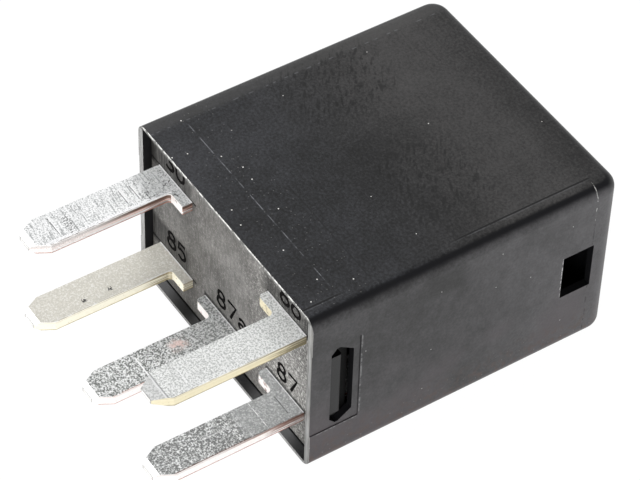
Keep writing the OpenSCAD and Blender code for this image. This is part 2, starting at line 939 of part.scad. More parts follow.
// The double-headed contact at the strip's free end
module moving_contact() {
    color("#d9d9d6") place() on_armature() translate([contact_u, 0, 0]) {
        translate([0, arm_t + spring_t, 0])
            dome_head(moving_d, moving_high);
        translate([0, arm_t, 0])
            mirror([0, 1, 0])
                dome_head(moving_d, moving_low);
        translate([0, arm_t - eps, 0])
            rotate([-90, 0, 0])
                cylinder(d = shank_d, h = spring_t + 2 * eps);
    }
}

// A fixed contact along +Y: head on the flange's face at y, shank through it and a tail behind
module fixed_contact() {
    dome_head(fixed_d, fixed_h);
    translate([0, -blade_t, 0])
        rotate([-90, 0, 0])
            cylinder(d = shank_d, h = blade_t + eps);
    translate([0, -blade_t - tail_h, 0])
        rotate([-90, 0, 0])
            cylinder(d1 = tail_d - head_slope, d2 = tail_d, h = tail_h);
}

// The normally open contact
module contact_87() {
    color("#d9d9d6") place()
        translate([contact_x, no_y1, mid_z])
            fixed_contact();
}

// The normally closed contact
module contact_87a() {
    color("#d9d9d6") place()
        translate([contact_x, nc_y0, mid_z])
            mirror([0, 1, 0])
                fixed_contact();
}

cover();
base();
terminal_30();
terminal_85();
terminal_86();
terminal_87();
terminal_87a();
yoke();
core();
bobbin();
winding();
coil_tape();
coil_lead_85();
coil_lead_86();
solder_85();
solder_86();
armature();
contact_spring();
armature_rivets();
yoke_rivets();
moving_contact();
contact_87();
contact_87a();
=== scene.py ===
import math

import bmesh
import bpy
from mathutils import Matrix, Vector


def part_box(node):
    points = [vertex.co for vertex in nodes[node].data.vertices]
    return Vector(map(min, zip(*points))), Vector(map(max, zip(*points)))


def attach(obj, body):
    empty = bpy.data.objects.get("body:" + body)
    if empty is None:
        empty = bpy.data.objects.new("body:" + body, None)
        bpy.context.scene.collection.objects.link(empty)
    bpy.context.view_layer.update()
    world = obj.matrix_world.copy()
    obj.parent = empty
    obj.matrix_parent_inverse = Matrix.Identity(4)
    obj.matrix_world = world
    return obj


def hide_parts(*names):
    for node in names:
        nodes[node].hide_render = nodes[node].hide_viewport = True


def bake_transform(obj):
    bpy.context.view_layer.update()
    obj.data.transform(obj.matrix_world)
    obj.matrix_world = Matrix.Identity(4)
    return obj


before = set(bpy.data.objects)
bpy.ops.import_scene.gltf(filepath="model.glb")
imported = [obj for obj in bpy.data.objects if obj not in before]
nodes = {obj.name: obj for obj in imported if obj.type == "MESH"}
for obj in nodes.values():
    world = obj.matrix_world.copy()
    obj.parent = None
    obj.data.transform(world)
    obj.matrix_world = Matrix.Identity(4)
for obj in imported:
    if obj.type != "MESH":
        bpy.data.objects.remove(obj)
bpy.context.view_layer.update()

# ---------------------------------------------------------------------------
# The view: a long lens that looks down on the blades, from above and to one side
# forward is the way that it looks, and right runs along the width of its view
# ---------------------------------------------------------------------------
lens = bpy.data.cameras.new("lens")
lens.sensor_fit = "HORIZONTAL"
lens.sensor_width = 36
lens.lens = 172.4
lens.clip_start = 0.01
lens.clip_end = 20
camera = bpy.data.objects.new("camera", lens)
bpy.context.scene.collection.objects.link(camera)
bpy.context.scene.camera = camera

stand = (0.12219, -0.083656, 0.164465)
forward = Vector((-0.56744, 0.39211, -0.72406))
right = Vector((0.54639, 0.83715, 0.02516))
down = forward.cross(right)
turned = Matrix((right, -down, -forward)).transposed().to_4x4()
camera.matrix_world = Matrix.Translation(stand) @ turned

# ---------------------------------------------------------------------------
# The studio: a white table, three soft lamps and a dim room
# The table shows white to the lens and in every gloss, and keeps the relay's shadow
# ---------------------------------------------------------------------------
class Field:
    """A value that varies over a surface: one socket of a node tree, with arithmetic."""

    def __init__(self, tree, socket=None):
        self.tree = tree
        self.socket = socket

    def node(self, kind, settings=None, sockets=None, out=0):
        """Adds a node: its settings first, then the values or fields of its sockets."""
        made = self.tree.nodes.new("ShaderNode" + kind)
        for name, value in (settings or {}).items():
            if name == "stops":
                ramp = made.color_ramp
                while len(ramp.elements) < len(value):
                    ramp.elements.new(0.5)
                for element, (place, colour) in zip(ramp.elements, value):
                    element.position = place
                    element.color = (*colour, 1)
            else:
                setattr(made, name, value)
        for name, value in (sockets or {}).items():
            if isinstance(value, Field):
                self.tree.links.new(value.socket, made.inputs[name])
            else:
                made.inputs[name].default_value = value
        return Field(self.tree, made.outputs[out]) if made.outputs else None

    def math(self, operation, *terms):
        return self.node("Math", {"operation": operation}, dict(enumerate(terms)))

    def __add__(self, other):
        return self.math("ADD", self, other)

    def __sub__(self, other):
        return self.math("SUBTRACT", self, other)

    def __rsub__(self, other):
        return self.math("SUBTRACT", other, self)

    def __mul__(self, other):
        return self.math("MULTIPLY", self, other)

    def __abs__(self):
        return self.math("ABSOLUTE", self)

    def __gt__(self, other):
        return self.math("GREATER_THAN", self, other)

    def __lt__(self, other):
        return self.math("LESS_THAN", self, other)

    __radd__ = __add__
    __rmul__ = __mul__

    def step(self, low, high):
        """0 below low and 1 above high, with a soft slope between them."""
        if low > high:
            return 1 - self.step(high, low)
        return self.node(
            "MapRange",
            {"interpolation_type": "SMOOTHSTEP"},
            {"Value": self, "From Min": low, "From Max": high},
        )

    def band(self, middle, half, soft):
        """1 within half of the middle, and 0 beyond a soft edge."""
        return abs(self - middle).step(half + soft, half)

    def mix(self, a, b):
        """Colour a where this field is 0, and colour b where it is 1."""
        full = [c if isinstance(c, Field) else (*c, 1) for c in (a, b)]
        return self.node(
            "Mix", {"data_type": "RGBA"}, {0: self, 6: full[0], 7: full[1]}, 2
        )


# the room is white up to a little above the table, and grey higher up
white = (1.0, 1.0, 1.0)
room_grey = (0.16, 0.16, 0.17)
world = bpy.data.worlds.new("room")
bpy.context.scene.world = world
world.use_nodes = True
world.node_tree.nodes.clear()
room = Field(world.node_tree)
height = room.node(
    "SeparateXYZ", {}, {0: room.node("TexCoord", {}, {}, "Generated")}, "Z"
)
sky = height.step(0.30, 0.12).mix(room_grey, white)
room.node(
    "OutputWorld", {}, {"Surface": room.node("Background", {}, {"Color": sky})}
)

table_white = bpy.data.materials.new("table_white")
table_white.use_nodes = True
table_white.node_tree.nodes.clear()
surface = Field(table_white.node_tree)
seen = surface.node("LightPath", {}, {}, "Is Camera Ray")
for ray in ("Is Glossy Ray", "Is Transmission Ray"):
    seen = seen.math("MAXIMUM", seen, surface.node("LightPath", {}, {}, ray))
lit = surface.node("BsdfDiffuse", {}, {"Color": (0.92, 0.92, 0.92, 1)})
glow = surface.node("Emission", {}, {"Color": (*white, 1), "Strength": 1.04})
both = surface.node("MixShader", {}, {0: seen * 0.95, 1: lit, 2: glow})
surface.node("OutputMaterial", {}, {"Surface": both})

table_radius = 6
table_drop = 0.00002
bpy.ops.mesh.primitive_circle_add(vertices=96, radius=table_radius, fill_type="NGON")
table = bpy.context.object
table.name = "table"
table.data.transform(Matrix.Translation((0, 0, -table_drop)))
table.data.materials.append(table_white)


def soft_lamp(name, place, size, watts):
    """A square softbox that faces the relay."""
    light = bpy.data.lights.new(name, "AREA")
    light.shape = "SQUARE"
    light.size = size
    light.energy = watts
    lamp = bpy.data.objects.new(name, light)
    lamp.location = place
    lamp.rotation_mode = "QUATERNION"
    lamp.rotation_quaternion = (-Vector(place)).to_track_quat("-Z", "Y")
    bpy.context.scene.collection.objects.link(lamp)


soft_lamp("lamp_behind", (-0.50, 0.34, 0.64), 0.85, 1.7)
soft_lamp("lamp_front", (-0.48, -0.62, 0.68), 0.75, 11.0)
soft_lamp("lamp_side", (0.74, -0.52, 0.30), 0.60, 6.0)

bpy.context.scene.view_settings.view_transform = "Standard"

# ---------------------------------------------------------------------------
# Housing: one deep shell, moulded in black glass-filled nylon, that snaps over the base
# Its broad side is cloudy with handling, and fine witness lines run beside its edges
# ---------------------------------------------------------------------------
mm_per_m = 1000


def new_finish(name):
    """An empty material and, in millimetres, the places on its piece."""
    made = bpy.data.materials.new(name)
    made.use_nodes = True
    made.node_tree.nodes.clear()
    empty = Field(made.node_tree)
    metres = empty.node("TexCoord", {}, {}, "Object")
    return made, empty.node("Mapping", {}, {"Vector": metres, "Scale": (mm_per_m,) * 3})


def axes(vector):
    """The X, Y and Z of a vector field."""
    return [vector.node("SeparateXYZ", {}, {0: vector}, axis) for axis in "XYZ"]


def facing(place):
    """The three parts of the surface's normal."""
    return axes(place.node("NewGeometry", {}, {}, "Normal"))


def noise(place, scale, detail=2.0, rough=0.5, stretch=(1, 1, 1), turn=0.0):
    """Soft noise from 0 to 1, with scale in waves per millimetre, turned about Z."""
    if turn:
        place = place.node("Mapping", {}, {"Vector": place, "Rotation": (0, 0, turn)})
    if stretch != (1, 1, 1):
        place = place.node("Mapping", {}, {"Vector": place, "Scale": stretch})
    return place.node(
        "TexNoise",
        {},
        {"Vector": place, "Scale": scale, "Detail": detail, "Roughness": rough},
        "Fac",
    )


def specks(place, scale, size, share):
    """Small round specks on the XY plane: one to a cell, in a share of the cells."""
    flat = {"voronoi_dimensions": "2D"}
    cells = {"Vector": place, "Scale": scale}
    near = place.node("TexVoronoi", flat, cells, "Distance")
    luck = place.node("TexVoronoi", flat, cells, "Color")
    luck = place.node("SeparateColor", {}, {0: luck}, 0)
    return near.step(size, size * 0.5) * (luck > 1 - share)


def bump(place, height, distance, strength=1.0):
    """Fine relief, with distance the height in millimetres of a full step."""
    return place.node(
        "Bump",
        {},
        {"Strength": strength, "Distance": distance / mm_per_m, "Height": height},
    )


def close(place, **sockets):
    """Ends a material with its shader."""
    named = {name.replace("_", " "): value for name, value in sockets.items()}
    shader = place.node("BsdfPrincipled", {}, named)
    place.node("OutputMaterial", {}, {"Surface": shader})


cover_low, cover_high = [corner * mm_per_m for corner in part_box("cover")]
rim_y, end_y = cover_low.y, cover_high.y
side_x, top_z = cover_high.x, cover_high.z
mid_z = top_z / 2
housing, place = new_finish("housing_black")
x, y, z = axes(place)
nx, ny, nz = facing(place)
on_top = z.step(top_z - 0.1, top_z - 0.02)
on_side = abs(nx).step(0.6, 0.95) * (abs(x) > side_x - 0.45)
on_end = ny.step(0.6, 0.95) + nz.step(-0.6, -0.95)
on_rim = (ny < -0.7) * (y < rim_y + 0.02)
black = (0.0, 0.0, 0.0)
line_grey = (0.28, 0.29, 0.31)
flash_grey = (0.75, 0.75, 0.72)
seam_y = end_y - 2.1
hairline_y = rim_y + 2.8

# broad soft clouds: dark across the middle, paler towards the closed end
drift = noise(place, 0.13, 3, 0.6)
mottle = noise(place, 0.9, 3, 0.6)
grain = noise(place, 4.6, 3, 0.75)
pale = y.step(rim_y + 12, rim_y + 20) * y.step(end_y - 0.8, end_y - 4.5) * 0.34
pale = pale + y.step(rim_y + 3, rim_y) * 0.12 + x.step(1, -8) * 0.12 + x.step(7.5, 10) * 0.1
pale = pale + (drift - 0.5) * 0.7 + (mottle - 0.5) * 0.5 + (grain - 0.5) * 1.6 + 0.13
bluish = y.step(rim_y + 16, rim_y + 6).mix((0.055, 0.053, 0.052), (0.049, 0.051, 0.058))
top_tone = pale.step(-0.25, 1.0).mix(black, bluish)
# painted highlight: the strip along the far rounded edge is painted paler, where that edge catches
# the light
far_edge_highlight = x.step(-side_x + 2.0, -side_x + 1.3)
top_tone = (far_edge_highlight * 0.45).mix(top_tone, (0.066, 0.065, 0.063))

# short marks like the ridges of a thumb, in two patches and a faint third between them
ridges = noise(place, 1.0, 1, 0.4, (1.0, 4.2, 1), 0.58)
thumb = ridges.step(0.46, 0.62) * noise(place, 1.6, 2, 0.7).step(0.40, 0.56)
patch = x.band(4.6, 2.6, 2.6) * y.band(rim_y + 14.2, 2.2, 2.4)
patch = patch + x.band(-7.2, 1.8, 2.2) * y.band(rim_y + 13.6, 2.8, 3.0)
patch = patch + x.band(-1.5, 3.0, 3.0) * y.band(rim_y + 12.5, 1.5, 2.5) * 0.4
top_tone = (thumb * patch * 0.75).mix(top_tone, black)

# the hairlines that the mould's inserts leave, broken here and there
broken = noise(place, 0.8, 3, 0.7)
hairline = y.band(hairline_y, 0.02, 0.03) * x.band(-0.1, 8.8, 0.3) * broken.step(0.40, 0.60)
second = y.band(rim_y + 5.5, 0.03, 0.05) * x.band(4.8, 4.6, 1.0) * 0.5
along = y.step(rim_y + 11.5, rim_y + 13) + y.step(rim_y + 4, rim_y + 2)
along = along * y.step(seam_y + 0.2, seam_y)
stop_line = x.band(side_x - 1.4, 0.05, 0.05) * along
lower_edge = x.band(side_x - 1.27, 0.03, 0.04) * along
dashes = x.band(-side_x + 1.7, 0.03, 0.03) * noise(place, 1.6, 1, 0.5, (0, 1, 0)).step(0.5, 0.6)
wander = (noise(place, 1.3, 2) - 0.5) * 0.25
seam = (y + wander).band(seam_y, 0.02, 0.025) * nx.step(0.05, 0.2) * z.step(11.6, 12.8)
seam = seam * noise(place, 3.2, 2, 0.7).step(0.42, 0.58)

# dust: grains near the rim, and single ones all over
dust = specks(place, 0.62, 0.040, 0.45) * y.band(rim_y + 2.4, 2.2, 0.8)
dust = dust + specks(place, 0.25, 0.012, 0.25)
dust = dust + specks(place, 2.2, 0.11, 0.2) * y.band(rim_y + 3.2, 1.2, 2.0) * 0.12
top_tone = (hairline * 0.5 + dashes * 0.2).mix(top_tone, line_grey)
top_tone = (stop_line * 0.9 + second).mix(top_tone, black)
top_tone = (lower_edge * broken.step(0.3, 0.6) * 0.12).mix(top_tone, line_grey)
top_tone = (dust * on_top).mix(top_tone, (0.85, 0.84, 0.8))

# the narrow sides are scuffed, and painted paler than the broad side as a painted reflection of the
# table, most towards the closed end; they are faintly rosy and rusty below
wear_and_reflection = y.step(rim_y + 6, end_y) * 0.5 + (drift - 0.5) * 1.2
wear_and_reflection = wear_and_reflection + (mottle - 0.5) * 0.6 + (grain - 0.5) * 0.9
wear_and_reflection = wear_and_reflection - y.band(rim_y + 10.8, 0.8, 1.2) * z.band(12.9, 0.5, 1.0) * 0.3 + 0.15
side_tone = wear_and_reflection.step(-0.4, 1.2).mix((0.008, 0.008, 0.008), (0.106, 0.103, 0.108))
rosy = noise(place, 0.25, 2).step(0.35, 0.65) * z.step(9.0, 3.0)
side_tone = (rosy * 0.6).mix(side_tone, (0.062, 0.050, 0.055))
rusty = noise(place, 1.6, 3, 0.7).step(0.45, 0.65) * z.step(4.0, 0.5)
side_tone = (rusty * 0.7).mix(side_tone, (0.076, 0.047, 0.038))
edgewise = place.node("Mapping", {}, {"Vector": place, "Rotation": (0, math.pi / 2, 0)})
lint = specks(edgewise, 0.3, 0.014, 0.35) + specks(edgewise, 1.6, 0.07, 0.35) * z.step(4, 0) * 0.4
side_tone = lint.mix(side_tone, (0.6, 0.6, 0.58))

# a painted highlight on the step edges of a shallow pocket beside the latch window, a thin pale line
# beside the square window, and the seam as a row of dots
ragged = noise(place, 3, 3, 0.7).step(0.45, 0.6)
pocket_step_highlight = y.band(rim_y + 4.02, 0.05, 0.03) * z.band(7.55, 4.1, 0.1)
pocket_step_highlight = pocket_step_highlight + z.band(3.36, 0.04, 0.03) * y.band(rim_y + 2.3, 1.6, 0.3)
window = y.band(end_y - 4.58, 0.04, 0.03) * z.band(mid_z, 2.0, 0.05)
side_tone = ((pocket_step_highlight * 0.22 + window * 0.9) * ragged).mix(side_tone, (0.55, 0.55, 0.55))
dots = (y + wander).band(seam_y, 0.03, 0.03) * z.step(12.6, 11.8)
dots = dots * noise(place, 2.2, 2).step(0.45, 0.6)
side_tone = (dots * 0.7).mix(side_tone, black)

# the rim's face is painted pale and mottled, a painted highlight where its edge catches the front
# light, with fine lines along its narrow walls
rim_highlight = noise(place, 1.0, 3, 0.6, (9, 1, 0.7)).step(0.3, 0.62)
rim_tone = rim_highlight.mix((0.16, 0.16, 0.155), (0.30, 0.30, 0.295))
lip = noise(place, 2.2, 3, 0.75).step(0.40, 0.58) * z.step(top_z - 0.25, top_z - 0.12)
rim_tone = z.step(top_z - 0.5, top_z - 0.4).mix(rim_tone, (0.10, 0.10, 0.095))
rim_tone = lip.mix(rim_tone, flash_grey)
grooves = x.band(side_x - 0.5, 0.02, 0.03) + x.band(side_x - 0.1, 0.03, 0.04)
rim_tone = (grooves * 0.7).mix(rim_tone, (0.07, 0.07, 0.065))

# inside, the walls are painted near black as painted shade, and only the narrow walls' faces deep
# inside keep a paler tone
inside = (y > rim_y + 1.6) * (abs(x) < side_x - 0.3) * (abs(nx) > 0.5)
inside = inside * (abs(z - mid_z) < mid_z - 1.02)
tone = inside.mix((0.006, 0.006, 0.007), (0.05, 0.05, 0.05))
plain = ((mottle - 0.5) * 0.6 + (grain - 0.5) * 1.2 + 0.4).step(-0.25, 1.0)
tone = on_end.mix(tone, plain.mix(black, (0.055, 0.055, 0.058)))
tone = on_top.mix(tone, top_tone)
tone = on_side.mix(tone, side_tone)
tone = (seam * 0.6).mix(tone, flash_grey)
tone = on_rim.mix(tone, rim_tone)
close(
    place,
    Base_Color=tone,
    Roughness=mottle * 0.10 + grain * 0.06 + 0.33,
    IOR=1.4,
    Normal=bump(place, grain * 0.4 + mottle * 0.6 + stop_line, 0.012),
)
nodes["cover"].material_slots[0].material = housing

# ---------------------------------------------------------------------------
# Base: the plate that carries the blades, moulded in the same nylon
# Its face is ground and painted pale, much of that a painted reflection of the table in place of the
# gloss it lacks; its flanks are painted near black as painted shade, and its snap tabs stay black
# ---------------------------------------------------------------------------
face_y = rim_y + 0.65
row_rise = 3.95
high = mid_z + row_rise
low = mid_z - row_rise
column = side_x - 3.15
blade_half_w = 1.4
blade_half_t = 0.4
above_high = high + blade_half_t
above_low = low + blade_half_t
base_grey, place = new_finish("base_grey")
x, y, z = axes(place)
nx, ny, nz = facing(place)
cloud = noise(place, 0.4, 3)
brushed = noise(place, 1.6, 3, 0.6, (3.2, 1, 0.8))
sparkle = noise(place, 6, 3, 0.85)
dusty = x.step(0.5, 7.5) * 0.8 + 0.2
# the face's pale tone, clouded and brushed, stands in as a painted reflection of the table, since
# its gloss is kept low
pale = (cloud - 0.5) * 0.8 + (brushed - 0.5) * 0.9 + x.step(-2, 10) * 0.35 + 0.35
tone = pale.step(0, 1).mix((0.080, 0.077, 0.073), (0.235, 0.230, 0.220))
tone = (sparkle.step(0.52, 0.66) * dusty).mix(tone, (0.66, 0.65, 0.62))
tone = (sparkle.step(0.47, 0.36) * dusty * 0.8).mix(tone, (0.03, 0.029, 0.027))

# painted shade: the face is painted dark and hatched in a strip above each blade, and a painted
# black line at the slots' edges stands for the shade in their gaps
painted_shade = z.band(above_high + 0.6, 0.6, 0.7) * (x.step(-4.6, -6.0) + x.step(3.4, 4.8))
painted_shade = painted_shade + z.band(above_low + 1.0, 0.9, 0.9) * x.step(-4.8, -6.2)
painted_shade = painted_shade + z.band(above_low + 0.1, 0.15, 0.2) * (x.step(4.4, 5.0) + x.band(-1.0, 2.4, 0.3))
slot_shade = z.band(above_high + 0.05, 0.06, 0.05) * (abs(x) > 4.6)
slot_shade = slot_shade + z.band(above_low + 0.05, 0.06, 0.05) * ((abs(x) > 4.6) + x.band(-1.0, 2.4, 0.1))
hatch = noise(place, 1.0, 1, 0.5, (7, 1, 0.4)).step(0.35, 0.65)
tone = (painted_shade.step(0, 1) * (hatch * 0.3 + 0.6)).mix(tone, (0.012, 0.0115, 0.011))
tone = slot_shade.step(0, 1).mix(tone, black)
# the flanks behind the face are painted near black as painted shade; the snap tabs' outer faces keep
# the nylon's black
shaded_flank = ny > -0.5
tab = (nx > 0.8) * (y < rim_y + 2.55)
tone = shaded_flank.mix(tone, tab.mix((0.002, 0.002, 0.002), (0.04, 0.04, 0.04)))
close(
    place,
    Base_Color=tone,
    Roughness=sparkle * 0.15 + 0.45,
    IOR=1.2,
    Normal=bump(place, sparkle + brushed * 0.5, 0.014, 0.8),
)
nodes["base"].material_slots[0].material = base_grey

# ---------------------------------------------------------------------------
# Numerals: the terminals' plain numbers, moulded as thin raised strokes on the base
# They are made as one round stroke each, mostly sunk, so that a low ridge shows
# ---------------------------------------------------------------------------
numeral_black, place = new_finish("numeral_black")
rubbed = noise(place, 3, 3)
close(
    place,
    Base_Color=rubbed.mix((0.001, 0.001, 0.001), (0.012, 0.011, 0.011)),
    Roughness=rubbed * 0.2 + 0.55,
    IOR=1.06,
    Normal=bump(place, rubbed, 0.01),
)


def arc(cx, cz, rx, rz, start, end, steps=14):
    """Points on part of an ellipse, with angles in degrees, anticlockwise from the right."""
    angles = [math.radians(start + (end - start) * i / steps) for i in range(steps + 1)]
    return [(cx + rx * math.cos(a), cz + rz * math.sin(a)) for a in angles]


# each figure's strokes in a cell 0.72 wide and 1 high
figures = {
    "0": [
        arc(0.36, 0.66, 0.34, 0.34, 0, 180) + arc(0.36, 0.34, 0.34, 0.34, 180, 360) + [(0.70, 0.66)],
    ],
    "3": [arc(0.34, 0.75, 0.28, 0.25, 150, -90) + arc(0.34, 0.26, 0.34, 0.26, 90, -150)],
    "5": [[(0.66, 1), (0.12, 1), (0.06, 0.56)] + arc(0.34, 0.32, 0.34, 0.32, 130, -145)],
    "6": [[(0.52, 1.0), (0.10, 0.48)] + arc(0.36, 0.32, 0.34, 0.32, 150, -210, 24)],
    "7": [[(0.02, 1), (0.72, 1), (0.26, 0)]],
    "8": [arc(0.36, 0.765, 0.27, 0.235, -90, 270, 22), arc(0.36, 0.27, 0.34, 0.27, 90, 450, 24)],
    "a": [
        arc(0.34, 0.50, 0.28, 0.22, 150, 0, 10) + [(0.62, 0)],
        arc(0.34, 0.19, 0.29, 0.19, 20, 340, 18),
    ],
}


def stroke_tree(finish):
    """Sweeps a round section along every stroke and gives it its material."""
    tree = bpy.data.node_groups.new("strokes", "GeometryNodeTree")
    for name, kind, way in (
        ("Strokes", "NodeSocketGeometry", "INPUT"),
        ("Radius", "NodeSocketFloat", "INPUT"),
        ("Pieces", "NodeSocketGeometry", "OUTPUT"),
    ):
        tree.interface.new_socket(name, socket_type=kind, in_out=way)

    def add(kind, **sockets):
        made = tree.nodes.new(kind)
        for name, value in sockets.items():
            name = name.replace("_", " ")
            if isinstance(value, bpy.types.NodeSocket):
                tree.links.new(value, made.inputs[name])
            else:
                made.inputs[name].default_value = value
        return made.outputs[0] if made.outputs else None

    given = tree.nodes.new("NodeGroupInput").outputs
    section = add("GeometryNodeCurvePrimitiveCircle", Resolution=16, Radius=given["Radius"])
    swept = add(
        "GeometryNodeCurveToMesh", Curve=given["Strokes"], Profile_Curve=section, Fill_Caps=True
    )
    smooth = add("GeometryNodeSetShadeSmooth", Geometry=swept, Shade_Smooth=True)
    real = add("GeometryNodeRealizeInstances", Geometry=smooth)
    add("NodeGroupOutput", Pieces=add("GeometryNodeSetMaterial", Geometry=real, Material=finish))
    return tree


# the figures' height, the strokes' radius and how far they stand out of the base's face
figure_h = 1.46
stroke_r = 0.25
stroke_out = 0.05
drawing = bpy.data.curves.new("numeral_strokes", "CURVE")
drawing.dimensions = "3D"

# each number's left edge from the housing's side, its foot and the pitch of its figures
for text, left, foot, pitch in (
    ("30", 2.65, 12.55, 1.38),
    ("85", 2.76, 4.74, 1.38),
    ("86", 17.50, 12.48, 1.38),
    ("87a", 9.48, 4.74, 1.40),
    ("87", 17.36, 4.64, 1.36),
):
    for order, figure in enumerate(text):
        for points in figures[figure]:
            line = drawing.splines.new("POLY")
            line.points.add(len(points) - 1)
            for point, (across, up) in zip(line.points, points):
                point.co = (
                    (left - side_x + order * pitch + across * figure_h) / mm_per_m,
                    (face_y + stroke_r - stroke_out) / mm_per_m,
                    (foot + up * figure_h) / mm_per_m,
                    1,
                )
strokes = bpy.data.objects.new("numeral_strokes", drawing)
bpy.context.scene.collection.objects.link(strokes)
sweep = strokes.modifiers.new("sweep", "NODES")
sweep.node_group = stroke_tree(numeral_black)
inputs = {item.name: item.identifier for item in sweep.node_group.interface.items_tree}
sweep[inputs["Radius"]] = stroke_r / mm_per_m
bpy.context.view_layer.update()
ready = strokes.evaluated_get(bpy.context.evaluated_depsgraph_get())
numerals = bpy.data.objects.new("numerals", bpy.data.meshes.new_from_object(ready))
bpy.context.scene.collection.objects.link(numerals)
bpy.data.objects.remove(strokes)
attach(numerals, "relay")

# ---------------------------------------------------------------------------
# Terminals: blanked from strips that were tinned first, so their cut edges are bare
# What all five share: sparkling tin, a painted highlight along the long corners and a layered cut
# edge
# ---------------------------------------------------------------------------
def lined(axis, at, half, ragged):
    """A thin line at one place along an axis, broken where ragged is 0."""
    return axis.band(at, half, half * 0.8) * ragged


blade_reach = 11
tip_y = rim_y - blade_reach


def tinned(name, centre, middle_z, tin, dark, grained, corner_highlight, bare, layers, marks):
    """Gives one terminal its finish.

    tin and dark are the colours of its coat, grained is how strongly they sparkle, and
    the number after grained sets how bright a painted highlight along its long corners is.
    bare is the metal of a clean cut, layers are the colours of the cut from its burr up to
    the coat, and marks adds the blade's scars, whose places along the blade are on Y, in
    millimetres, from rim_y out to tip_y.
    """
    burr = layers[0][1]
    shear = layers[-2][1]
    made, place = new_finish(name)
    x, y, z = axes(place)
    nx, ny, nz = facing(place)
    across = x - centre
    speck = noise(place, 7.5, 1.5, 0.7)
    blotch = noise(place, 1.1, 3, 0.6)
    tone = (speck.step(0.50, 0.44) * grained).mix(tin, dark)
    tone = (speck.step(0.56, 0.62) * grained).mix(tone, white)
    tone = (blotch.step(0.5, 0.8) * 0.2).mix(tone, dark)
    tone = marks(place, across, y, speck, tone)

    # the coined bevels catch the light, and the coat is worn through along the corners
    coined = (nz > 0.5) * (nz < 0.985)
    tone = (coined * 0.5).mix(tone, (0.25, 0.25, 0.25))
    tone = (coined * (nz < 0.92)).mix(tone, (0.85, 0.85, 0.84))
    tone = y.step(tip_y + 0.06, tip_y + 0.02).mix(tone, (0.3, 0.3, 0.3))
    # painted highlight: the long corners are painted white, in the strength given for each blade,
    # and a white line runs along the blade's root
    bright = across.band(blade_half_w - 0.04, 0.04, 0.04) * (y < rim_y) * corner_highlight
    bright = bright + y.band(face_y - 0.04, 0.03, 0.02)
    tone = (bright * 0.8).mix(tone, white)
    worn_off = noise(place, 1.1, 2).step(0.40, 0.50) * y.step(-9.0, -11.5)
    tone = (lined(across, blade_half_w - 0.03, 0.02, worn_off) * 0.75).mix(tone, shear)

    # the cut: a burr, a dark band of shear and clean bare metal, paler towards the tip
    wobble = noise(place, 0.9, 3, 0.6, (1, 1, 0.2))
    depth = (z - (middle_z - blade_half_t)) * (0.5 / blade_half_t) + (wobble - 0.5) * 0.10
    cut = depth.node("ValToRGB", {"stops": layers}, {0: depth})
    cut = (y.step(-9.6, -14.5) * 0.72).mix(cut, bare)
    cut = (noise(place, 6, 2, 0.7).step(0.60, 0.75) * 0.3).mix(cut, shear)
    burnt = noise(place, 1.0, 3, 0.7, (1, 0.25, 9)).step(0.44, 0.56) * y.step(-10.2, -8.4)
    cut = (burnt * 0.85).mix(cut, shear)
    cut = (depth.step(0.13, 0.05) * 0.9).mix(cut, burr)
    is_cut = abs(nz) < 0.5
    tone = is_cut.mix(tone, cut)

    # the tip's end is a bright core in a dark frame, and the shoulders' ends are pitted
    end = (ny < -0.6) * (abs(nx) < 0.5)
    outline = depth.band(0.5, 0.12, 0.12) * across.band(0, 0.50, 0.16)
    ended = outline.mix((0.17, 0.16, 0.14), (0.86, 0.85, 0.82))
    tone = (end * (y < tip_y + 1)).mix(tone, ended)
    pitted = noise(place, 2.5, 3, 0.7).step(0.56, 0.66)
    shouldered = (pitted * 0.8).mix(bare, shear)
    tone = (end * (y > tip_y + 1) * 0.85).mix(tone, shouldered)
    close(
        place,
        Base_Color=tone,
        Metallic=is_cut * 0.25 + 0.3,
        Roughness=speck * 0.18 + 0.34,
        Normal=bump(place, speck + blotch * 0.5, 0.02, 0.8),
    )
    nodes[name].material_slots[0].material = made


tin_white = (1.0, 0.99, 0.96)
copper_white = (1.0, 0.97, 0.95)
brass_white = (1.0, 0.96, 0.80)

# ---------------------------------------------------------------------------
# Terminal 30: the blade of the common contact, copper under bright tin
# Blanked and coined like the others, with its face fretted by fine cross scratches
# ---------------------------------------------------------------------------
def marks_30(place, across, y, speck, tone):
    fret = noise(place, 1.0, 2, 0.6, (0.7, 7.0, 1), 0.05)
    tone = (fret.step(0.56, 0.66) * 0.7).mix(tone, (0.25, 0.26, 0.26))
    tone = (fret.step(0.44, 0.36) * 0.8).mix(tone, white)
    ragged = noise(place, 2.5, 2).step(0.30, 0.42)
    for at, left, right in ((-15.93, -0.9, 0.75), (-10.42, -0.6, 0.6), (-9.50, -0.7, 0.8)):
        span = across.step(left - 0.1, left) * across.step(right + 0.1, right) * ragged
        tone = (lined(y, at, 0.02, span) * 0.85).mix(tone, (0.05, 0.05, 0.05))
        tone = lined(y, at + 0.09, 0.03, span).mix(tone, white)
    band = y.band(-14.9, 0.15, 0.35) * across.step(-1.0, -0.2) * speck.step(0.55, 0.45)
    tone = (band * 0.7).mix(tone, (0.16, 0.16, 0.16))
    # a painted highlight along the blade's right edge, broken by the grain
    tone = (across.band(1.2, 0.10, 0.06) * speck.step(0.35, 0.5)).mix(tone, white)
    tone = (y.step(-9.4, -8.4) * 0.35).mix(tone, (0.35, 0.36, 0.36))
    scribble = noise(place, 2.0, 2, 0.6).band(0.5, 0.010, 0.015)
    scribble = scribble * noise(place, 1.0, 2).step(0.42, 0.55)
    return (scribble * y.step(-9.8, -8.9) * 0.9).mix(tone, (0.02, 0.02, 0.02))


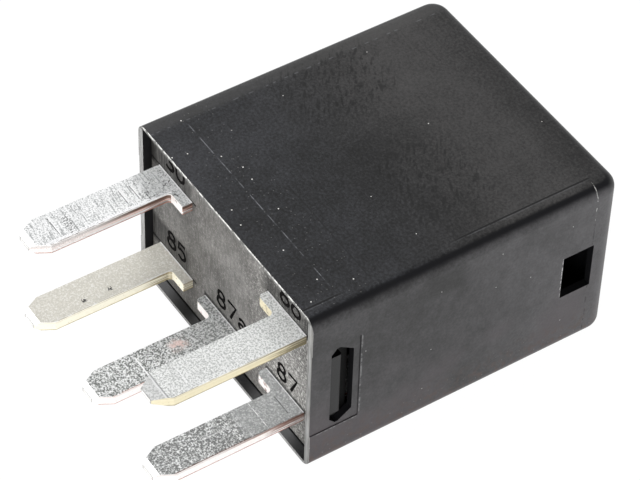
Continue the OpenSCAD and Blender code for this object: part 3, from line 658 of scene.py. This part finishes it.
tinned(
    "terminal_30",
    centre=-column,
    middle_z=high,
    tin=(0.95, 0.96, 0.95),
    dark=(0.30, 0.31, 0.31),
    grained=0.6,
    corner_highlight=1.0,
    bare=copper_white,
    layers=[
        (0.0, (0.48, 0.20, 0.14)),
        (0.10, copper_white),
        (0.30, copper_white),
        (0.40, (0.92, 0.55, 0.44)),
        (0.46, copper_white),
        (0.56, (0.80, 0.48, 0.40)),
        (0.66, (0.17, 0.09, 0.06)),
        (0.88, (0.15, 0.09, 0.07)),
        (0.93, tin_white),
    ],
    marks=marks_30,
)

# ---------------------------------------------------------------------------
# Terminal 85: the blade at one end of the coil, brass under smooth satin tin
# Blanked and coined like the others, with two small nicks on its face
# ---------------------------------------------------------------------------
def marks_85(place, across, y, speck, tone):
    for at in (-14.17, -12.05):
        nick = across.band(0.62, 0.14, 0.1) * y.band(at, 0.12, 0.1) * speck.step(0.52, 0.46)
        tone = nick.mix(tone, (0.03, 0.03, 0.03))
    return tone


tinned(
    "terminal_85",
    centre=-column,
    middle_z=low,
    tin=(0.68, 0.657, 0.586),
    dark=(0.48, 0.465, 0.41),
    grained=0.35,
    corner_highlight=0.5,
    bare=brass_white,
    layers=[
        (0.0, (0.50, 0.44, 0.24)),
        (0.08, (1.0, 0.93, 0.70)),
        (0.35, brass_white),
        (0.78, brass_white),
        (0.88, (0.36, 0.30, 0.18)),
        (0.95, tin_white),
    ],
    marks=marks_85,
)

# ---------------------------------------------------------------------------
# Terminal 86: the blade at the coil's other end, brass under a light, even grain of tin
# Blanked and coined like the others, with a bright line across its tip
# ---------------------------------------------------------------------------
def marks_86(place, across, y, speck, tone):
    bright = lined(y, -17.33, 0.04, 1) + lined(y, -15.48, 0.03, 1) * across.band(0, 0.7, 0.2) * 0.5
    tone = bright.mix(tone, white)
    return (lined(y, -17.24, 0.04, 1) * 0.7).mix(tone, (0.25, 0.25, 0.25))


tinned(
    "terminal_86",
    centre=column,
    middle_z=high,
    tin=(0.82, 0.83, 0.81),
    dark=(0.20, 0.21, 0.20),
    grained=0.5,
    corner_highlight=0.4,
    bare=(0.86, 0.79, 0.57),
    layers=[
        (0.0, (0.38, 0.32, 0.16)),
        (0.10, (0.86, 0.78, 0.55)),
        (0.50, (0.76, 0.68, 0.46)),
        (0.76, (0.84, 0.78, 0.60)),
        (0.86, (0.25, 0.21, 0.13)),
        (0.96, (0.7, 0.68, 0.6)),
    ],
    marks=marks_86,
)

# ---------------------------------------------------------------------------
# Terminal 87a: the blade of the contact that is closed at rest, copper under coarse tin
# Its grain is heavy, and on one spot the tin is rubbed through
# ---------------------------------------------------------------------------
def marks_87a(place, across, y, speck, tone):
    tone = (y.step(-12.5, -8.5) * 0.35).mix(tone, (0.35, 0.36, 0.36))
    tone = (lined(y, -13.9, 0.04, 1) * across.band(0, 0.8, 0.3)).mix(tone, white)
    ragged = noise(place, 2.2, 3, 0.7).step(0.36, 0.56)
    spot = y.band(-10.7, 0.25, 0.7) * across.band(-0.4, 0.1, 0.7) * ragged
    return (spot * 0.75).mix(tone, (0.98, 0.74, 0.68))


tinned(
    "terminal_87a",
    centre=0,
    middle_z=low,
    tin=(0.70, 0.71, 0.70),
    dark=(0.13, 0.14, 0.13),
    grained=0.9,
    corner_highlight=0.0,
    bare=copper_white,
    layers=[
        (0.0, (0.55, 0.28, 0.22)),
        (0.07, copper_white),
        (0.76, copper_white),
        (0.86, (0.55, 0.28, 0.22)),
        (0.96, (0.6, 0.55, 0.53)),
    ],
    marks=marks_87a,
)

# ---------------------------------------------------------------------------
# Terminal 87: the blade of the contact that the coil closes, copper under the darkest tin
# Blanked and coined like the others, with lines pressed across and along it
# ---------------------------------------------------------------------------
def marks_87(place, across, y, speck, tone):
    smooth = y.step(-11.6, -10.6)
    tone = (smooth * 0.6).mix(tone, (0.45, 0.46, 0.46))
    ragged = noise(place, 3, 2, 0.7).step(0.35, 0.6)
    tone = (lined(y, -9.42, 0.02, ragged) + lined(y, -10.7, 0.02, ragged) * 0.5).mix(tone, white)
    tone = (lined(across, 1.36, 0.03, ragged) * 0.6).mix(tone, (0.10, 0.06, 0.05))
    ridge = across.band(-0.2, 0.04, 0.06) * y.band(-12.4, 1.2, 0.4)
    tone = (ridge * 0.5).mix(tone, (0.85, 0.85, 0.85))
    groove = lined(y, -7.56, 0.03, speck.step(0.38, 0.52)) * (abs(across) < 0.9)
    return (groove * 0.8).mix(tone, (0.06, 0.06, 0.06))


tinned(
    "terminal_87",
    centre=column,
    middle_z=low,
    tin=(0.46, 0.47, 0.46),
    dark=(0.11, 0.11, 0.11),
    grained=0.8,
    corner_highlight=0.0,
    bare=copper_white,
    layers=[
        (0.0, (0.42, 0.16, 0.11)),
        (0.07, copper_white),
        (0.68, (1.0, 0.93, 0.89)),
        (0.84, (0.22, 0.09, 0.06)),
        (0.96, (0.40, 0.36, 0.34)),
    ],
    marks=marks_87,
)

# ---------------------------------------------------------------------------
# What the housing hides, from the iron yoke to the silver contacts
# Each is finished as the real piece is, though only an opened relay shows it
# ---------------------------------------------------------------------------
def inner(name, colour, metallic, rough, scale):
    """A plain finish, faintly mottled at scale waves per millimetre."""
    made, place = new_finish(name)
    mottle = noise(place, scale, 3)
    tone = mottle.mix(tuple(c * 0.8 for c in colour), colour)
    close(
        place,
        Base_Color=tone,
        Metallic=metallic,
        Roughness=mottle * 0.1 + rough,
        Normal=bump(place, mottle, 0.01, 0.5),
    )
    return made


iron = inner("iron", (0.55, 0.55, 0.54), metallic=1.0, rough=0.35, scale=3)
nylon = inner("bobbin_nylon", (0.74, 0.70, 0.58), metallic=0.0, rough=0.45, scale=1)
copper = inner("copper_wire", (0.78, 0.36, 0.16), metallic=1.0, rough=0.3, scale=4)
amber = inner("tape_amber", (0.62, 0.36, 0.06), metallic=0.0, rough=0.25, scale=1)
solder = inner("solder", (0.75, 0.75, 0.76), metallic=1.0, rough=0.25, scale=3)
rivet = inner("rivet", (0.70, 0.67, 0.6), metallic=1.0, rough=0.35, scale=3)
silver = inner("contact_silver", (0.86, 0.86, 0.84), metallic=1.0, rough=0.25, scale=3)
for finish, names in (
    (iron, ("yoke", "core", "armature")),
    (nylon, ("bobbin",)),
    (copper, ("winding", "coil_lead_85", "coil_lead_86")),
    (amber, ("coil_tape",)),
    (solder, ("solder_85", "solder_86")),
    (rivet, ("armature_rivets", "yoke_rivets")),
    (silver, ("moving_contact", "contact_87", "contact_87a")),
):
    for name in names:
        nodes[name].material_slots[0].material = finish

# ---------------------------------------------------------------------------
# Contact spring: a bronze strip riveted to the iron arm and, below its bend, to the yoke
# Its leg is cut into short lengths above the yoke's rivets
# ---------------------------------------------------------------------------
held_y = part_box("yoke_rivets")[1].y
hinge_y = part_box("armature")[0].y
lengths = 12
strip = bmesh.new()
strip.from_mesh(nodes["contact_spring"].data)
merge_within = 0.000001
bmesh.ops.remove_doubles(strip, verts=strip.verts[:], dist=merge_within)
for cut_number in range(lengths + 1):
    bmesh.ops.bisect_plane(
        strip,
        geom=strip.verts[:] + strip.edges[:] + strip.faces[:],
        plane_co=(0, held_y + (hinge_y - held_y) * cut_number / lengths, 0),
        plane_no=(0, 1, 0),
    )
spring_mesh = bpy.data.meshes.new("spring_strip")
strip.to_mesh(spring_mesh)
strip.free()
spring_mesh.materials.clear()
spring_mesh.materials.append(inner("bronze", (0.80, 0.56, 0.30), metallic=1.0, rough=0.3, scale=3))
spring_mesh.set_sharp_from_angle(angle=math.radians(30))
spring = bpy.data.objects.new("spring_strip", spring_mesh)
bpy.context.collection.objects.link(spring)
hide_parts("contact_spring")
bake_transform(spring)
